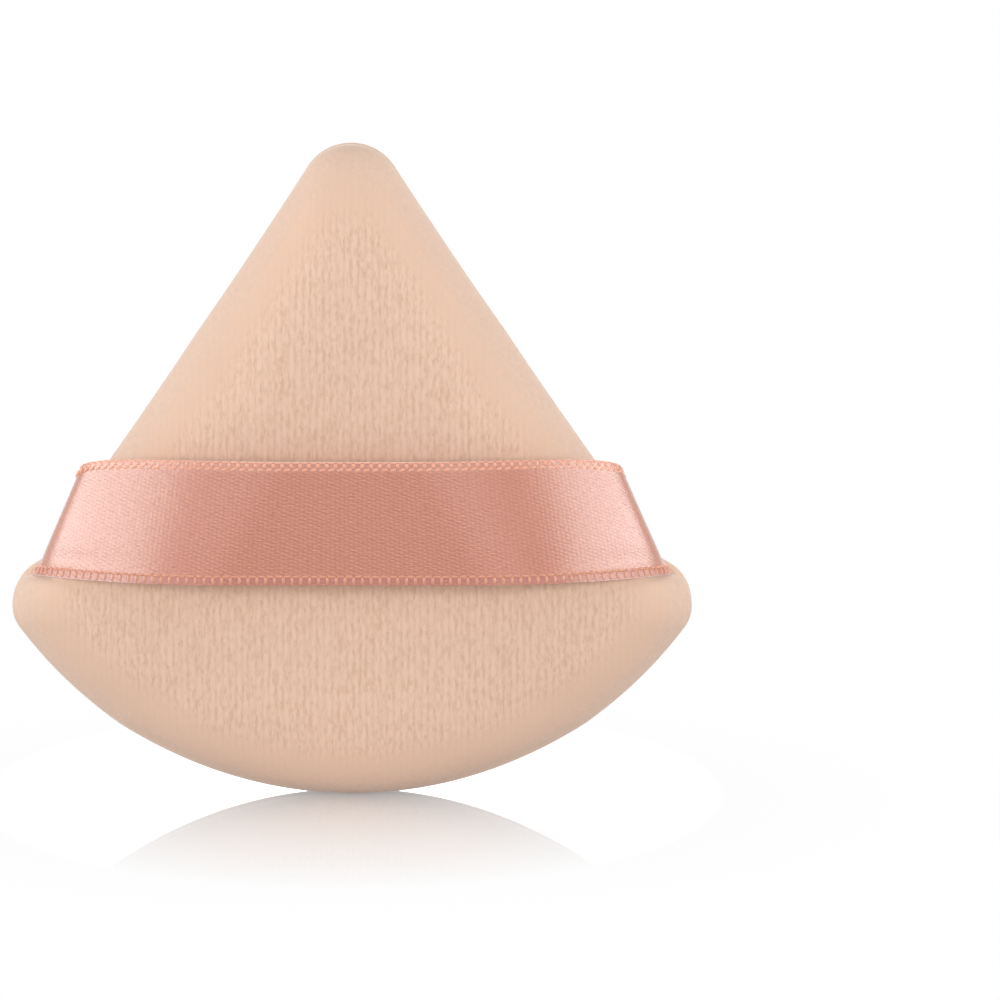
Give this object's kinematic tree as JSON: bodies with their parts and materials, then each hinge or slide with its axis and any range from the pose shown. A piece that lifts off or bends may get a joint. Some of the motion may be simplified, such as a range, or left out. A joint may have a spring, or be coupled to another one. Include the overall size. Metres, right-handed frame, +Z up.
{
  "type": "powder puff",
  "caption": "Rounded triangular velour powder puff with an arced base, a soft foam filling and a satin finger ribbon arched across its face and sewn into the side seams.",
  "frame": {"origin": "on the standing plane, under the middle of the puff", "axes": "+Z up through the apex, +X across the face, -Y out of the ribbon's side"},
  "size_m": [0.07, 0.0192, 0.0671],
  "materials": {
    "velour": "matte",
    "foam": "matte",
    "satin": "satin",
    "thread": "satin"
  },
  "bodies": {
    "pad": {"front_cover": "velour", "back_cover": "velour", "foam_core": "foam", "ribbon_tail_left": "satin", "ribbon_tail_right": "satin", "needle_thread": "thread", "bobbin_thread": "thread", "closing_thread": "thread"},
    "band": {"ribbon_band": "satin"}
  },
  "joints": [
    {"name": "band_lift", "type": "slide", "parent": "pad", "child": "band", "axis": [0, -1, 0], "range_m": [0, 0.007], "stiffness_N_per_m": 10}
  ]
}
